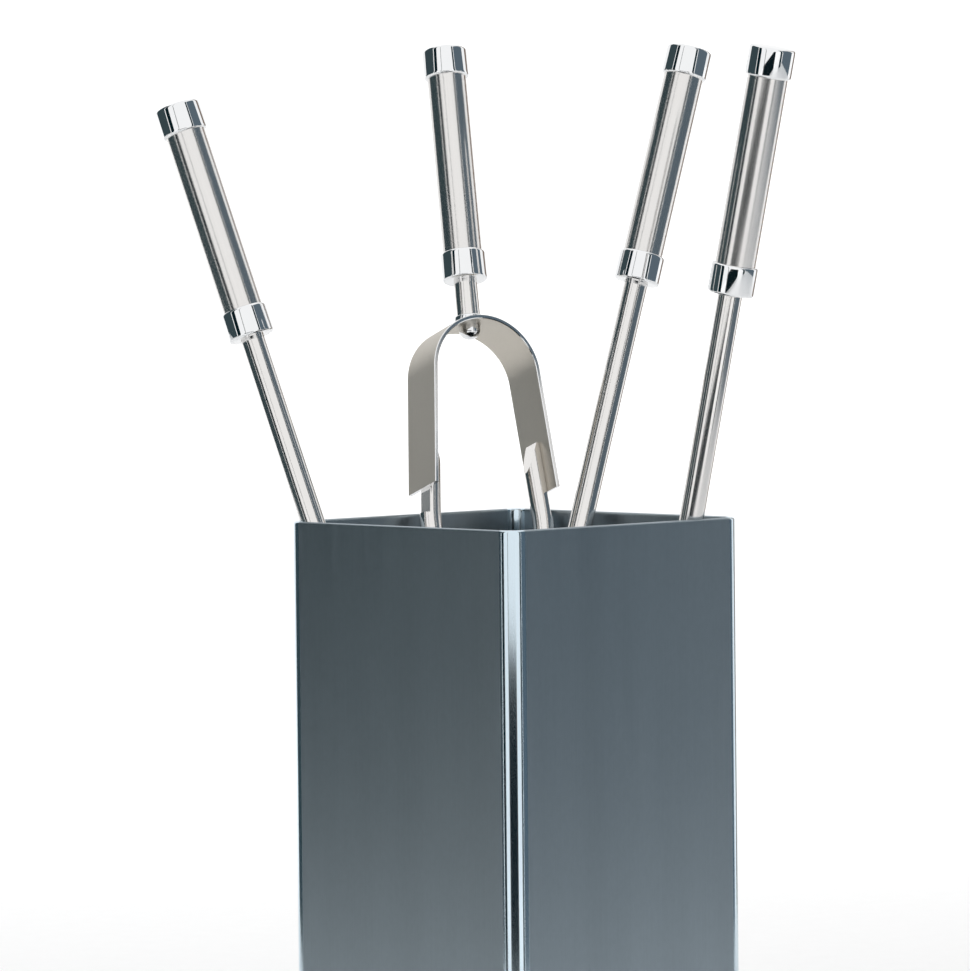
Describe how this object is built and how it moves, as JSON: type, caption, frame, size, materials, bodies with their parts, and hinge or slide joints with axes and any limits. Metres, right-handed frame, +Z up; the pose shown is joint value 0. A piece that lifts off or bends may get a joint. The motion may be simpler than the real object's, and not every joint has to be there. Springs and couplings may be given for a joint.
{
  "type": "fireplace tool set",
  "caption": "Square brushed steel container holding a shovel, sprung tongs, a brush and a poker that lean out of its open top.",
  "frame": {"origin": "centre of the container's footprint, on the floor", "axes": "+Z up out of the container's mouth; X and Y square to its faces, with the front corner towards -X -Y"},
  "size_m": [0.2479, 0.2821, 0.6175],
  "materials": {
    "base_sheet": "mill finish",
    "bristle": "black bristles",
    "brushed_sheet": "vertically brushed stainless sheet",
    "glide_rubber": "matt black",
    "mat_rubber": "matt black",
    "pan_sheet": "brushed stainless sheet",
    "polished": "mirror polished",
    "rivet": "steel rivets",
    "rod": "satin round bar",
    "satin_tube": "satin, brushed lengthwise",
    "spring_strip": "matt bead-blasted strip with polished edges"
  },
  "bodies": {
    "container": {"base_plate": "base_sheet", "container_shell": "brushed_sheet", "floor_mat": "mat_rubber", "glides": "glide_rubber", "seam_strip": "base_sheet"},
    "brush": {"brush_bristles": "bristle", "brush_ferrule": "polished", "brush_grip_tube": "satin_tube", "brush_head": "polished", "brush_lock_ring": "polished", "brush_rod": "rod", "brush_top_cap": "polished"},
    "poker": {"poker_ferrule": "polished", "poker_grip_tube": "satin_tube", "poker_hook": "rod", "poker_point": "rod", "poker_rod": "rod", "poker_top_cap": "polished"},
    "shovel": {"shovel_ferrule": "polished", "shovel_flange": "rod", "shovel_grip_tube": "satin_tube", "shovel_pan": "pan_sheet", "shovel_rivets": "rivet", "shovel_rod": "rod", "shovel_socket": "rod", "shovel_top_cap": "polished"},
    "tongs": {"tongs_bow": "spring_strip", "tongs_collar": "polished", "tongs_ferrule": "polished", "tongs_grip_tube": "satin_tube", "tongs_neck_rod": "rod", "tongs_nut": "polished", "tongs_top_cap": "polished"},
    "tongs_left_arm": {"tongs_left_jaw": "pan_sheet", "tongs_left_leg": "rod", "tongs_left_rivets": "rivet", "tongs_left_tang": "rod"},
    "tongs_right_arm": {"tongs_right_jaw": "pan_sheet", "tongs_right_leg": "rod", "tongs_right_rivets": "rivet", "tongs_right_tang": "rod"}
  },
  "joints": [
    {"name": "shovel_lift", "type": "slide", "parent": "container", "child": "shovel", "axis": [0, 0, 1], "range_m": [0, 0.4]},
    {"name": "tongs_lift", "type": "slide", "parent": "container", "child": "tongs", "axis": [0.1591, 0.2647, 0.9511], "range_m": [0, 0.4]},
    {"name": "brush_lift", "type": "slide", "parent": "container", "child": "brush", "axis": [0.2769, -0.0393, 0.9601], "range_m": [0, 0.4]},
    {"name": "poker_lift", "type": "slide", "parent": "container", "child": "poker", "axis": [0.0549, -0.1718, 0.9836], "range_m": [0, 0.4]},
    {"name": "tongs_left_squeeze", "type": "hinge", "parent": "tongs", "child": "tongs_left_arm", "pos_m": [0.05125, 0.08337, 0.47465], "axis": [-0.2477, -0.9245, 0.2897], "range_deg": [0, 1.7], "stiffness_Nm_per_rad": 60, "deforming": ["tongs_bow"]},
    {"name": "tongs_right_squeeze", "type": "hinge", "parent": "tongs", "child": "tongs_right_arm", "pos_m": [0.05125, 0.08337, 0.47465], "axis": [0.2477, 0.9245, -0.2897], "range_deg": [0, 1.7], "stiffness_Nm_per_rad": 60}
  ],
  "couplings": [
    {"joint": "tongs_right_squeeze", "follows": "tongs_left_squeeze", "ratio": 1}
  ]
}
